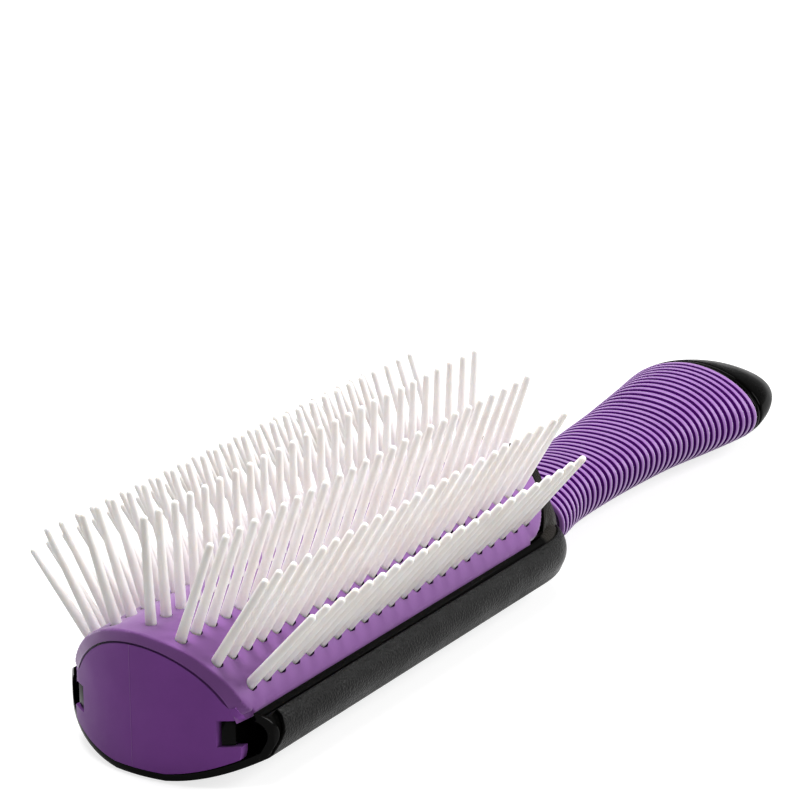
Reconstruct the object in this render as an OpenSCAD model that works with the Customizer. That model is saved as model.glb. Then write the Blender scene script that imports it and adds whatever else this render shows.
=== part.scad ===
// Detangling brush with a half-round head, a slide-out pad and a ribbed grip.
// Millimetres. X runs from the free end of the head to the end of the handle, and Z is up, out of the pad.
// The brush lies on its back. The origin is under its middle, on the surface that it lies on.

/* [Head] */
// Width of the head over its rails
head_w = 42.4; // [42:0.1:44]
// Radius of the bowed front, seen from above
front_bow_r = 27.5; // [26:0.5:40]
// Radius of the front corners of the frame, seen from above
front_corner_r = 2.2; // [1.5:0.1:3]
// How far the front of the frame lies behind the front of the pad
front_setback = 0.4; // [0.2:0.05:0.8]
// Radius of the shallow back, seen from the front, as a share of the width
back_share = 0.99; // [0.95:0.01:1.1]
// Width of the flat land on the back
land_w = 10; // [8:0.5:12]
// Radius of the rolled side of a rail
rail_r = 5; // [4.8:0.05:5.2]
// Height of the middle of a rail above the middle of its lower corner
rail_rise = 2.53; // [2.4:0.01:2.8]
// Radius of a rail's lower corner
rail_corner_r = 1.8; // [1.7:0.05:2]
// Power of the curve that rounds the rear of the head
rear_power = 2.8; // [2.6:0.1:3.2]
// Length of the rounded rear of the head
rear_round_l = 15.5; // [14:0.5:17]

/* [Frame] */
// Thickness of the floor and of the outer walls
frame_wall = 1.1; // [1:0.05:1.2]
// Thickness of a rail's inner wall
inner_wall_t = 1.1; // [0.9:0.1:1.3]
// Height of the top of a rail's inner wall above the middle of the rail
inner_wall_rise = 3; // [2.6:0.1:3.2]
// Width of a catch lug
lug_w = 1.9; // [1.5:0.1:2]
// Height of a catch lug
lug_h = 4.1; // [3.6:0.1:4.3]
// Length of a catch lug, from its face to its root
lug_l = 5; // [4:0.1:6]
// Thickness of the collar behind the pad
collar_t = 2.7; // [2:0.1:3]
// How far the collar lies below the pad's surface
collar_drop = 0.3; // [0.2:0.05:0.6]
// How far the shoulder behind the pad lies below the top of the pad
shoulder_drop = 1.5; // [0.8:0.1:2.5]
// Height of the tongue that holds the end cap
tongue_h = 6; // [5:0.5:7]
// Width of the tongue that holds the end cap
tongue_w = 13; // [10:0.5:15]
// Length of the tongue that holds the end cap
tongue_l = 8; // [6:0.5:10]

/* [Back shell] */
// Thickness of the grained shell on the back
shell_t = 0.6; // [0.5:0.05:0.7]
// How far the shell stands proud of the frame
shell_proud = 0.3; // [0.2:0.05:0.35]
// How far the shell starts behind the front of the frame
shell_setback = 0.6; // [0.5:0.1:6]
// Height of the shell's upper edge above the middle of the rail
shell_rise = 3.7; // [3.2:0.1:4]

/* [Pad] */
// How much more the radius of the pad's arch is than half the pad's width
pad_bulge = 1.05; // [0.9:0.05:1.2]
// How far the axis of the pad's arch lies below the middle of the rails
pad_drop = 1.7; // [1.6:0.05:1.8]
// Length of the pad
pad_l = 110.5; // [95:0.5:125]
// Width of a rail beside the pad
rail_ledge_w = 3.45; // [3.2:0.05:3.7]
// Radius of the front corners of the pad, seen from above
pad_corner_r = 3; // [2:0.1:4]
// Thickness of the pad's skin
pad_skin_t = 2; // [1.8:0.1:2.2]
// Thickness of the front wall of the pad
pad_front_t = 1.9; // [1.6:0.1:2]
// How far the front wall stops short of the sides of the pad
front_inset = 1.05; // [0.8:0.05:1.3]
// Power of the curve that rounds the rear of the pad
pad_rear_power = 2.45; // [2.3:0.05:2.8]
// Length of the rounded rear of the pad
pad_round_l = 13; // [12:0.5:14]
// Height of the bead along the pad's lower edge
pad_bead_h = 1.6; // [1.2:0.1:1.8]
// How far the bead stands out of the pad
pad_bead_t = 1.2; // [0.8:0.05:1.4]
// Width of the slit in the front wall
slit_w = 0.35; // [0.25:0.05:0.6]
// Angle that the slit reaches down each side
slit_angle = 65; // [50:1:66]
// Depth of the notches in the sides of the front wall
notch_w = 3.3; // [3.1:0.1:3.5]
// Length of the notches along the sides of the pad
notch_l = 6; // [4:0.5:8]
// Running clearance between the pad and the frame
pad_gap = 0.3; // [0.26:0.01:0.35]

/* [Pins] */
// Length of a pin above the pad
pin_l = 19; // [15:0.5:22]
// Thickness of a pin where it leaves the pad
pin_base_d = 1.9; // [1.6:0.05:2]
// Thickness of a pin at its tip
pin_tip_d = 1.3; // [1:0.05:1.5]
// Bore of a pin hole in the pad
pin_hole_d = 2.3; // [2.2:0.05:2.6]
// Width of the strip that joins the pins of a row
strip_w = 3.2; // [2.6:0.1:3.4]
// Thickness of that strip
strip_t = 1.2; // [1:0.1:1.6]
// Gap between a strip and the pad's skin
strip_gap = 0.15; // [0.1:0.05:0.3]
// How far a strip runs on past its end pins
strip_end_l = 1.1; // [1:0.05:1.2]
// Angle between rows on the pad's arch, near the middle
row_angle = 20.1; // [19.6:0.1:20.6]
// Angle of the outermost row on the pad's arch
outer_row_angle = 58; // [57:0.5:59]
// Lean of the first and last pins of the middle row
fan_angle = 4; // [0:0.5:6]

/* [Grip] */
// Length of the shoulder between the head and the grip
shoulder_l = 7.5; // [6:0.5:12]
// Length of the ribbed grip
grip_l = 74; // [68:0.5:80]
// Width of the grip at its widest
grip_w = 31; // [26:0.2:33]
// Height of the top of the grip at its highest
grip_top_z = 16.7; // [15.5:0.1:18]
// Depth of the grooves between the ribs
groove_depth = 0.6; // [0.3:0.05:0.9]
// Number of grooves
groove_count = 35; // [20:1:40]
// Length of the plain ring at the front of the grip
front_ring_l = 2.6; // [2:0.1:4]
// Length of the plain ring at the rear of the grip
rear_ring_l = 3; // [2:0.1:4]
// Thickness of the grip sleeve
grip_t = 2; // [1.6:0.1:2.4]
// Length of the end cap
cap_l = 23.5; // [18:0.5:26]

/* [Hidden] */
$fn = 64;

// Overrun of cuts past the faces that they cut
cut = 1;
// Sides of the arcs of the pad, and of the wide arcs of the head
arc_fn = 120;
bow_fn = 180;
// Steps along the curved outlines of the head and of the pad
plan_steps = 18;
bow_steps = 14;
// Steps round half of the back, a lower corner and the roll of a rail
back_steps = 8;
corner_steps = 4;
roll_steps = 14;
// Sides of the lofted handle
loft_sides = 28;
// Rings along the frame's tang
tang_rings = 15;
// Rings along the neck
neck_rings = 12;
// Rings along the end cap
cap_rings = 9;
// Gap between the notch of the pad and a lug, above and below together
lug_gap = 0.6;
// How far a lug's face lies behind the front of the pad
lug_recess = 0.5;
// Gap between the tongue and the cap's pocket
tongue_gap = 0.15;
// Height of the middle of the tongue above the widest level of the grip
tongue_lift = 2.4;
// How far the neck reaches in under the pad
neck_root_l = 8;

// Directions, from above, in which the roll of the rear is drawn besides straight back
roll_angles = [-67.5, -45, -22.5, 22.5, 45, 67.5];

// Length of the curve at the rear of the head, as a share of the rounded rear
rear_reach_share = 1.1;
// Place of a rail's lower corner, as a share of the corner's radius
corner_in_share = 0.44;
// Height of a rail's lip, as a share of the rail's radius
lip_share = 0.94;
// Where a groove is deepest and where it ends, as shares of the spacing
groove_mid_share = 0.3;
groove_end_share = 0.6;
// Last ring of the end cap, as a share of its length
cap_end_share = 0.995;

// Powers of the curves round the grip, the neck and the cap
grip_upper_power = 2.18;
grip_lower_power = 2.19;
neck_upper_power = 2.3;
neck_lower_power = 2.4;
cap_power = 1.8;

// Spacing of the pins along a row, as a share of the pad's length
pitch_share = 0.038;
pin_pitch = pad_l * pitch_share;

// Widths of the pad and of its front wall, and the radius of its arch
pad_w = head_w - 2 * rail_ledge_w;
pad_front_w = pad_w - 2 * front_inset;
pad_r = pad_w / 2 + pad_bulge;

// Places along the brush, from the free end
head_l = pad_l + pad_gap + collar_t;
grip_start = head_l + shoulder_l;
grip_end = grip_start + grip_l;
overall_l = grip_end + cap_l;
x_shift = -overall_l / 2;
pad_straight_l = pad_l - pad_round_l;
bead_start = front_bow_r - sqrt(pow(front_bow_r, 2) - pow(pad_w / 2, 2)) + notch_l;
neck_start = pad_l - neck_root_l;

// Places across the head
half_w = head_w / 2;
rail_y = half_w - rail_r;
corner_y = half_w - rail_corner_r * (1 + corner_in_share);

// The back's arc runs into the rails' lower corners, and these into the rolled sides
back_r = head_w * back_share;
back_z = sqrt(back_r * back_r - land_w * land_w / 4);
back_angle = asin(corner_y / (back_r - rail_corner_r));
corner_z = back_z - (back_r - rail_corner_r) * cos(back_angle);
rail_z = corner_z + rail_rise;
corner_angle = atan2(rail_z - corner_z, corner_y - rail_y)
    - acos((rail_r - rail_corner_r) / norm([corner_y - rail_y, rail_z - corner_z]));

lip_z = rail_z + lip_share * rail_r;
inner_wall_z = rail_z + inner_wall_rise;
shell_top_z = rail_z + shell_rise;
pad_axis_z = rail_z - pad_drop;
shoulder_h = pad_axis_z + pad_r - shoulder_drop;
skirt_z = rail_z - pad_bead_h / 2;
lug_z = inner_wall_z - lug_h;
floor_inset = shell_proud + frame_wall;
plate_inset = floor_inset + pad_gap;

// The inner walls stand clear of the inside of the pad's arch
wall_outer_y = sqrt(pow(pad_r - pad_skin_t - pad_gap, 2) - pow(inner_wall_z - pad_axis_z, 2));
wall_inner_y = wall_outer_y - inner_wall_t;

// A flat strip lies this far below the top of the arch that it touches with its edges
strip_sink = (pad_r - pad_skin_t) - sqrt(pow(pad_r - pad_skin_t, 2) - pow(strip_w / 2, 2));

// Pin rows from the right side to the left: angle on the arch, lean of the pins, pins in the row
row_angles = [outer_row_angle, 2 * row_angle, row_angle, 0, -row_angle, -2 * row_angle, -outer_row_angle];
// Lean of each row's pins as a share of its angle
lean_shares = [0.7, 0.78, 0.97, 0, 0.97, 0.78, 0.7];
row_counts = [22, 24, 25, 25, 25, 24, 22];
// First pin of each row as a share of the pin pitch
start_shares = [2.41, 1.41, 0.95, 1.13, 0.95, 1.41, 2.41];

// Grip sections at even steps along the grip, as shares of the largest width and height
width_shares = [0.736, 0.613, 0.633, 0.688, 0.762, 0.858, 1];
crown_shares = [0.807, 0.85, 0.834, 0.866, 0.914, 0.999, 0.969];
waist_shares = [0.418, 0.474, 0.53, 0.544, 0.52, 0.483, 0.444];
belly_shares = [0.052, 0.06, 0.083, 0.092, 0.093, 0.06, 0.088];

// Height of the tongue's underside
tongue_z = waist_shares[6] * grip_top_z + tongue_lift - tongue_h / 2;

// Neck sections at even steps from under the pad to the grip
neck_w_shares = [0.8, 0.8, 0.775, 0.67, 0.555, 0.495];
neck_crown_shares = [1, 1, 0.98, 0.87, 0.665, 0.517];
neck_waist_shares = [0.335, 0.33, 0.32, 0.305, 0.295, 0.288];
neck_belly_shares = [0.06, 0.062, 0.065, 0.068, 0.07, 0.07];

// Smooth curve through evenly spaced values, t from 0 to 1
function pick(v, i) = v[max(0, min(len(v) - 1, i))];
function spline(v, t) =
    let (n = len(v) - 1)
    let (i = min(n - 1, max(0, floor(t * n))))
    let (f = t * n - i)
    let (a = pick(v, i - 1), b = pick(v, i), c = pick(v, i + 1), d = pick(v, i + 2))
    b + f * (c - a) / 2 + f * f * (a - 2.5 * b + 2 * c - d / 2) + f * f * f * (1.5 * b - a / 2 - 1.5 * c + d / 2);

function signed_power(v, p) = sign(v) * pow(abs(v), p);

// One closed ring of a loft: half-width, height of the crown, of the widest level and of the belly
function ring(x, w, crown, waist, belly, upper_power, lower_power) =
    [for (k = [0 : loft_sides - 1])
        let (a = 360 * (k + 0.5) / loft_sides)
        let (p = sin(a) > 0 ? upper_power : lower_power)
        let (h = sin(a) > 0 ? crown - waist : waist - belly)
        [x, w * signed_power(cos(a), 2 / p), waist + h * signed_power(sin(a), 2 / p)]];

// Triangles between the rings of a loft, from one ring to the next
function wall_faces(rings, first_point) =
    [for (i = [0 : rings - 2]) for (k = [0 : loft_sides - 1])
        let (a = first_point + i * loft_sides + k)
        let (b = first_point + i * loft_sides + (k + 1) % loft_sides)
        each [[a, a + loft_sides, b], [b, a + loft_sides, b + loft_sides]]];

function flipped(faces) = [for (f = faces) [f[0], f[2], f[1]]];

// Closed solid through a list of rings
module loft(rings) {
    n = loft_sides;
    last_point = (len(rings) - 1) * n;
    front = [for (k = [1 : n - 2]) [0, k, k + 1]];
    rear = [for (k = [1 : n - 2]) [last_point, last_point + k + 1, last_point + k]];
    polyhedron([for (r = rings) each r], concat(wall_faces(len(rings), 0), front, rear));
}

// Open tube between an outer and an inner list of rings, closed by a flat ring at each end
module tube(outer, inner) {
    n = loft_sides;
    inner_first = len(outer) * n;
    outer_last = inner_first - n;
    inner_last = inner_first + (len(inner) - 1) * n;
    front = [for (k = [0 : n - 1])
        let (j = (k + 1) % n)
        each [[k, j, inner_first + k], [j, inner_first + j, inner_first + k]]];
    rear = [for (k = [0 : n - 1])
        let (j = (k + 1) % n)
        each [[outer_last + k, inner_last + k, outer_last + j],
              [outer_last + j, inner_last + k, inner_last + j]]];
    polyhedron(concat([for (r = outer) each r], [for (r = inner) each r]),
               concat(wall_faces(len(outer), 0), flipped(wall_faces(len(inner), inner_first)), front, rear));
}

function grip_ring(x, inset) =
    let (t = (x - grip_start) / grip_l)
    ring(x, spline(width_shares, t) * grip_w / 2 - inset, spline(crown_shares, t) * grip_top_z - inset,
         spline(waist_shares, t) * grip_top_z, spline(belly_shares, t) * grip_top_z + inset,
         grip_upper_power, grip_lower_power);

// Everything is drawn from the free end and then centred
module place() {
    translate([x_shift, 0, 0]) children();
}

// Extrudes an outline drawn in Y and Z along X
module along(from, to) {
    translate([from, 0, 0]) rotate([90, 0, 90]) linear_extrude(to - from) children();
}

function on_arc(y, z, r, angle) = [y + r * cos(angle), z + r * sin(angle)];

// Right half of the section of the head, from the back's land up to the top of a rail
function half_section(inset) =
    let (land_angle = acos((back_z - inset) / (back_r - inset)))
    concat(
        [for (k = [0 : back_steps - 1])
            on_arc(0, back_z, back_r - inset, land_angle - 90 + (back_angle - land_angle) * k / back_steps)],
        [for (k = [0 : corner_steps])
            on_arc(corner_y, corner_z, rail_corner_r - inset,
                   back_angle - 90 + (90 - back_angle - corner_angle) * k / corner_steps)],
        [for (k = [0 : roll_steps])
            on_arc(rail_y, rail_z, rail_r - inset, -corner_angle + (90 + corner_angle) * k / roll_steps)]);

function mirrored(points) = [for (k = [len(points) - 1 : -1 : 0]) [-points[k][0], points[k][1]]];

// Section of the head, filled, drawn inside its outer surface by the inset
module head_section(inset) {
    right = half_section(inset);
    polygon(concat(right, mirrored(right)));
}

// Outline from above with a straight front, straight sides and a rounded rear
module rounded_plan(front_x, round_x, w, l, power) {
    polygon(concat([[front_x, w]],
        [for (k = [0 : 2 * plan_steps])
            let (a = 90 - 90 * k / plan_steps)
            [round_x + l * pow(abs(cos(a)), 2 / power), w * signed_power(sin(a), 2 / power)]],
        [[front_x, -w]]));
}

// Outline from above: a bowed front with rounded corners, straight sides and a rounded rear
module bowed_plan(front_x, round_x, w, l, power, corner) {
    corner_x = front_x + front_bow_r - sqrt(pow(front_bow_r - corner, 2) - pow(w - corner, 2));
    bow_angle = asin((w - corner) / (front_bow_r - corner));
    bow = [for (k = [-bow_steps : bow_steps])
        let (a = bow_angle * k / bow_steps)
        [front_x + front_bow_r * (1 - cos(a)), front_bow_r * sin(a)]];
    side = [for (k = [1 : corner_steps])
        let (a = bow_angle + (90 - bow_angle) * k / corner_steps)
        [corner_x - corner * cos(a), w - corner + corner * sin(a)]];
    rear = [for (k = [0 : 2 * plan_steps])
        let (a = 90 - 90 * k / plan_steps)
        [round_x + l * pow(abs(cos(a)), 2 / power), w * signed_power(sin(a), 2 / power)]];
    polygon(concat(bow, side, rear, [for (k = [corner_steps - 1 : -1 : 0]) [side[k][0], -side[k][1]]]));
}

module head_plan(inset, setback) {
    bowed_plan(setback, head_l - rear_round_l, half_w - inset, rear_reach_share * rear_round_l - inset,
               rear_power, front_corner_r);
}

// The rear of the head is rolled like its sides
module head_side(inset) {
    translate([-cut, 0]) square([head_l - half_w + cut, 2 * rail_z]);
    translate([head_l - half_w, 0]) head_section(inset);
}

// The roll goes round the rear corners, drawn here for one direction in plan
module rear_roll(angle, inset) {
    q = rear_power / (rear_power - 1);
    reach = pow(pow(rear_reach_share * rear_round_l * cos(angle), q) + pow(half_w * abs(sin(angle)), q), 1 / q);
    translate([head_l - rear_round_l, 0, 0]) rotate([90, 0, angle])
        linear_extrude(2 * head_l, center = true) {
            translate([-head_l, 0]) square([head_l + reach - half_w, 2 * rail_z]);
            translate([reach - half_w, 0]) head_section(inset);
        }
}

module head_block(inset, setback) {
    intersection() {
        along(-cut, head_l + cut) head_section(inset);
        linear_extrude(2 * rail_z) head_plan(inset, setback);
        translate([0, half_w, 0]) rotate([90, 0, 0]) linear_extrude(head_w) head_side(inset);
        intersection_for (a = roll_angles)
            rear_roll(a, inset);
    }
}

// Outline of the pad from above
module pad_plan() {
    bowed_plan(0, pad_straight_l, pad_w / 2, pad_round_l, pad_rear_power, pad_corner_r);
}

// Outline of the room for the pad, open at the front
module pad_room() {
    rounded_plan(-cut, pad_straight_l, pad_w / 2 + pad_gap, pad_round_l + pad_gap, pad_rear_power);
}

// Section of the space that the pad slides in, with a groove behind each inner wall
module trough_section() {
    difference() {
        head_section(floor_inset);
        for (s = [-1, 1])
            translate([s * (wall_inner_y + inner_wall_t / 2) - inner_wall_t / 2, 0])
                square([inner_wall_t, inner_wall_z]);
    }
    intersection() {
        translate([0, pad_axis_z]) circle(pad_r + pad_gap, $fn = arc_fn);
        translate([-half_w, inner_wall_z]) square([head_w, 2 * pad_r]);
    }
    for (s = [-1, 1])
        translate([s * (pad_w / 2 + pad_gap - pad_skin_t / 2) - pad_skin_t / 2, skirt_z])
            square([pad_skin_t, lip_z - skirt_z]);
}

module trough() {
    intersection() {
        along(-cut, pad_l + pad_gap) trough_section();
        translate([0, 0, -cut]) linear_extrude(3 * pad_r) hollow_plan();
    }
    translate([0, 0, lip_z]) linear_extrude(2 * pad_r) pad_room();
}

// The hollow ends behind the pad, and is open at the front
module hollow_plan() {
    pad_room();
    translate([-cut, -half_w]) square([pad_straight_l + cut, head_w]);
}

// Room for the front wall of the pad, between the rails
module front_room() {
    intersection() {
        along(-cut, front_bow_r) intersection() {
            head_section(floor_inset);
            translate([-pad_front_w / 2 - pad_gap, 0]) square([pad_front_w + 2 * pad_gap, 2 * rail_z]);
        }
        translate([0, 0, -cut]) linear_extrude(2 * rail_z) before_bow(pad_front_t + pad_gap);
    }
}

// All that lies before the bowed front when it is set back, from above
module before_bow(setback) {
    difference() {
        translate([-cut, -head_w]) square([front_bow_r + cut, 2 * head_w]);
        translate([front_bow_r + setback, 0]) circle(front_bow_r, $fn = bow_fn);
    }
}

// A catch lug on the front end of each inner wall
module lugs() {
    for (s = [-1, 1])
        intersection() {
            translate([0, s > 0 ? wall_outer_y - lug_w : -wall_outer_y, lug_z])
                cube([front_bow_r, lug_w, lug_h]);
            linear_extrude(2 * rail_z) difference() {
                before_bow(lug_recess + lug_l);
                before_bow(lug_recess);
            }
        }
}

// Wall that closes the head behind the pad, arched like the pad
module collar() {
    intersection() {
        along(pad_straight_l, head_l) intersection() {
            translate([0, pad_axis_z]) circle(pad_r - collar_drop, $fn = arc_fn);
            translate([-half_w, rail_z]) square([head_w, 2 * pad_r]);
        }
        linear_extrude(2 * (pad_axis_z + pad_r))
            rounded_plan(0, pad_straight_l, pad_w / 2, pad_round_l + pad_gap + collar_t, pad_rear_power);
    }
}

// Shoulder and neck, from under the pad to the grip
function neck_ring(t) =
    ring(neck_start + t * (grip_start - neck_start), spline(neck_w_shares, t) * half_w,
         spline(neck_crown_shares, t) * shoulder_h, spline(neck_waist_shares, t) * shoulder_h,
         spline(neck_belly_shares, t) * shoulder_h, neck_upper_power, neck_lower_power);

module neck() {
    loft([for (i = [0 : neck_rings]) neck_ring(i / neck_rings)]);
}

// The part of the frame that runs through the grip, and the tongue for the end cap
module tang() {
    loft([for (i = [0 : tang_rings]) grip_ring(grip_start - cut + (grip_l + cut) * i / tang_rings, grip_t)]);
    translate([grip_end - cut, -tongue_w / 2, tongue_z]) cube([tongue_l + cut, tongue_w, tongue_h]);
}

module shell_solid() {
    difference() {
        head_block(0, front_setback + shell_setback);
        head_block(shell_t, 0);
        translate([-cut, -half_w - cut, shell_top_z]) cube([head_l + 2 * cut, head_w + 2 * cut, 2 * rail_z]);
    }
}

module frame_body() {
    color("#17191a") place() {
        difference() {
            union() {
                difference() {
                    head_block(shell_proud, front_setback);
                    shell_solid();
                }
                collar();
                neck();
            }
            trough();
            front_room();
        }
        lugs();
        tang();
    }
}

module back_shell() {
    color("#202223") place() difference() {
        shell_solid();
        neck();
    }
}

// Section of the pad behind its front wall: an arch that hooks under the rails
module pad_section() {
    intersection() {
        difference() {
            translate([0, pad_axis_z]) circle(pad_r, $fn = arc_fn);
            translate([0, pad_axis_z]) circle(pad_r - pad_skin_t, $fn = arc_fn);
        }
        translate([-pad_w / 2, skirt_z]) square([pad_w, 2 * pad_r]);
    }
}

// A bead along each lower edge of the pad
module beads() {
    root = pad_w / 2 - pad_skin_t / 4;
    for (s = [-1, 1])
        translate([bead_start, s > 0 ? root : -root - pad_bead_t - pad_skin_t / 4, skirt_z])
            cube([pad_straight_l - pad_gap - bead_start, pad_bead_t + pad_skin_t / 4, pad_bead_h]);
}

// Section of the front wall
module front_section() {
    intersection() {
        translate([0, pad_axis_z]) circle(pad_r, $fn = arc_fn);
        translate([0, back_z]) circle(back_r - plate_inset, $fn = bow_fn);
        translate([-pad_front_w / 2, plate_inset]) square([pad_front_w, 2 * pad_r]);
    }
}

// Thin curved slit between the front wall and the arched skin
module slit() {
    reach = 2 * pad_r;
    translate([0, pad_axis_z]) intersection() {
        difference() {
            circle(pad_r - pad_skin_t, $fn = arc_fn);
            circle(pad_r - pad_skin_t - slit_w, $fn = arc_fn);
        }
        polygon([[0, 0], [reach * sin(slit_angle), reach * cos(slit_angle)], [reach, 2 * reach],
                 [-reach, 2 * reach], [-reach * sin(slit_angle), reach * cos(slit_angle)]]);
    }
}

// The notches let the lugs stand in the front wall and run back along the sides
module notches() {
    for (s = [-1, 1])
        intersection() {
            translate([-cut, s > 0 ? pad_front_w / 2 - notch_w : -half_w, lug_z - lug_gap / 2])
                cube([front_bow_r, half_w - pad_front_w / 2 + notch_w, lug_h + lug_gap]);
            linear_extrude(2 * rail_z) before_bow(notch_l);
        }
}

// Puts its children at one pin of a row, with Z along the pin and zero where it leaves the pad
module at_pin(row, k) {
    x = (start_shares[row] + k) * pin_pitch;
    middle = (row_counts[row] - 1) / 2;
    lean = row_angles[row] * lean_shares[row];
    fan = row == 3 ? fan_angle * (k - middle) / middle : 0;
    translate([x, -pad_r * sin(row_angles[row]), pad_axis_z + pad_r * cos(row_angles[row])])
        rotate([lean, fan, 0]) children();
}

module pad() {
    color("#8a6c9b") place() difference() {
        union() {
            intersection() {
                along(-cut, pad_l + cut) pad_section();
                linear_extrude(2 * (pad_axis_z + pad_r)) pad_plan();
            }
            beads();
            intersection() {
                along(-cut, front_bow_r) difference() {
                    front_section();
                    slit();
                }
                linear_extrude(2 * (pad_axis_z + pad_r)) intersection() {
                    before_bow(pad_front_t);
                    pad_plan();
                }
            }
        }
        notches();
        for (row = [0 : 6])
            for (k = [0 : row_counts[row] - 1])
                at_pin(row, k) translate([0, 0, -2 * pad_skin_t])
                    cylinder(h = 3 * pad_skin_t, d = pin_hole_d, $fn = 20);
    }
}

// A strip under the skin and the pins that it carries
module pin_row(row) {
    count = row_counts[row];
    first_x = start_shares[row] * pin_pitch;
    root = pad_skin_t + strip_gap + strip_t / 2;
    color("#ece7e2") place() {
        translate([first_x - strip_end_l, 0, pad_axis_z]) rotate([row_angles[row], 0, 0])
            translate([0, -strip_w / 2, pad_r - pad_skin_t - strip_gap - strip_t - strip_sink])
                cube([(count - 1) * pin_pitch + 2 * strip_end_l, strip_w, strip_t]);
        for (k = [0 : count - 1])
            at_pin(row, k) translate([0, 0, -root - strip_sink])
                cylinder(h = pin_l + root + strip_sink, d1 = pin_base_d, d2 = pin_tip_d, $fn = 4);
    }
}

// Ribbed sleeve: three rings to a groove and its rib
module grip_sleeve() {
    first = grip_start + front_ring_l;
    pitch = (grip_l - front_ring_l - rear_ring_l) / groove_count;
    ribs = [for (k = [0 : groove_count - 1]) each [
        grip_ring(first + k * pitch, 0),
        grip_ring(first + (k + groove_mid_share) * pitch, groove_depth),
        grip_ring(first + (k + groove_end_share) * pitch, 0)]];
    color("#8a63a6") place() tube(
        concat([grip_ring(grip_start, 0)], ribs, [grip_ring(grip_end - rear_ring_l, 0), grip_ring(grip_end, 0)]),
        [for (i = [0 : tang_rings]) grip_ring(grip_start + grip_l * i / tang_rings, grip_t)]);
}

// One ring of the cap, at a share of its length
function cap_ring(share) =
    let (k = pow(1 - pow(cap_end_share * share, cap_power), 1 / cap_power))
    let (waist = waist_shares[6] * grip_top_z)
    ring(grip_end + cap_l * share, k * grip_w / 2, waist + (grip_top_z - waist) * k, waist,
         waist - (waist - belly_shares[6] * grip_top_z) * k, grip_upper_power, grip_lower_power);

// End cap, closed in a blunt curve
module end_cap() {
    color("#101112") place() difference() {
        loft([for (i = [0 : cap_rings]) cap_ring(sin(90 * i / cap_rings))]);
        translate([grip_end - cut, -tongue_w / 2 - tongue_gap, tongue_z - tongue_gap])
            cube([tongue_l + tongue_gap + cut, tongue_w + 2 * tongue_gap, tongue_h + 2 * tongue_gap]);
    }
}

frame_body();
back_shell();
pad();
pin_row(0);  // pin_row_1
pin_row(1);  // pin_row_2
pin_row(2);  // pin_row_3
pin_row(3);  // pin_row_4
pin_row(4);  // pin_row_5
pin_row(5);  // pin_row_6
pin_row(6);  // pin_row_7
grip_sleeve();
end_cap();
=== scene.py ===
import math

import bmesh
import bpy
import numpy as np
from mathutils import Matrix, Vector, geometry


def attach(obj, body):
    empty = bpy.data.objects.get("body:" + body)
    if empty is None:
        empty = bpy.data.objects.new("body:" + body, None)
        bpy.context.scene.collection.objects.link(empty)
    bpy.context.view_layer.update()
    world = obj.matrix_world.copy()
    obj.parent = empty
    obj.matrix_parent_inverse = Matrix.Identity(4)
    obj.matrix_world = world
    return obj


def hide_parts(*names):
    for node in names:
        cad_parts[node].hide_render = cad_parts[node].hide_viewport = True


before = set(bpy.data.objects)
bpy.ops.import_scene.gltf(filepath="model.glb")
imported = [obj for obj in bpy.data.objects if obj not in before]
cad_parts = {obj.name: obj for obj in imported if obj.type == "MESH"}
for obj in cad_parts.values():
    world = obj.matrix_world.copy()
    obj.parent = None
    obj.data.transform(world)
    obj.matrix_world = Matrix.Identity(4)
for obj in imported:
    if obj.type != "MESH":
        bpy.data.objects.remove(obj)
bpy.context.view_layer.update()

# Sizes are in millimetres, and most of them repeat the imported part's. Places along the brush count
# from the free end of its head, which stands at X0.
MM = 0.001
X0 = -109.25

# Pad: radius of its arch, height of the arch's axis, and thickness of the skin
PAD_R, PAD_Z, SKIN = 18.8, 6.9, 2.0
# Half of its width, and the radius of its front corners and of its bowed front, from above
PAD_W, CORNER, BOW_R = 17.75, 3.0, 27.5
# Its length, and the length and the power of its rounded rear
PAD_L, ROUND_L, REAR_P = 110.5, 13.0, 2.45
# Height of its lower edge, heights of the bottom and top of the notch in each side, and its length
SKIRT_Z, NOTCH_LOW, NOTCH_TOP, NOTCH_L = 7.8, 7.2, 11.9, 6.0
# Front wall: thickness, half-width, and half-width between the notches
WALL_T, WALL_W, NOTCH_W = 1.9, 16.7, 13.4

# Pin rows from the right side: angle on the arch, lean as a share of it, number of pins, and place
# of the first pin in pin spacings
SIDE_ROWS = [(58, 0.7, 22, 2.41), (40.2, 0.78, 24, 1.41), (20.1, 0.97, 25, 0.95)]
ROWS = SIDE_ROWS + [(0, 0, 25, 1.13)] + [(-angle, *rest) for angle, *rest in SIDE_ROWS[::-1]]
PITCH = PAD_L * 0.038  # the pins' spacing
MIDDLE_ROW, FAN = 3, 4  # the row whose pins fan out, and the lean of its end pins in degrees

# Grip and end cap: start and length of the grip, length of the cap, half-width and height
GRIP_A, GRIP_L, CAP_L = 121.0, 74.0, 23.5
GRIP_W, GRIP_TOP = 15.5, 16.7
# Sections at even steps along the grip, as shares of that half-width and height. The last ones
# stand higher than the solid's.
WIDTHS = [0.736, 0.613, 0.633, 0.688, 0.762, 0.858, 1]
CROWNS = [0.807, 0.85, 0.834, 0.866, 0.914, 1.02, 1.055]
WAISTS = [0.418, 0.474, 0.53, 0.544, 0.52, 0.483, 0.5]
BELLIES = [0.052, 0.06, 0.083, 0.092, 0.093, 0.06, 0.055]
# Powers of a section's upper and lower curve. The upper one goes to END_P over the grip's rear end.
UPPER_P, LOWER_P, END_P = 2.18, 2.19, 1.84
RING = 128  # points round a section
# Powers of the cap's curves at its sides, its top and its underside, and the share of them that its
# length takes, which leaves a small end face at the tip
CAP_P, CAP_SHARE = (1.86, 1.32, 1.34), 0.996

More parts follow.
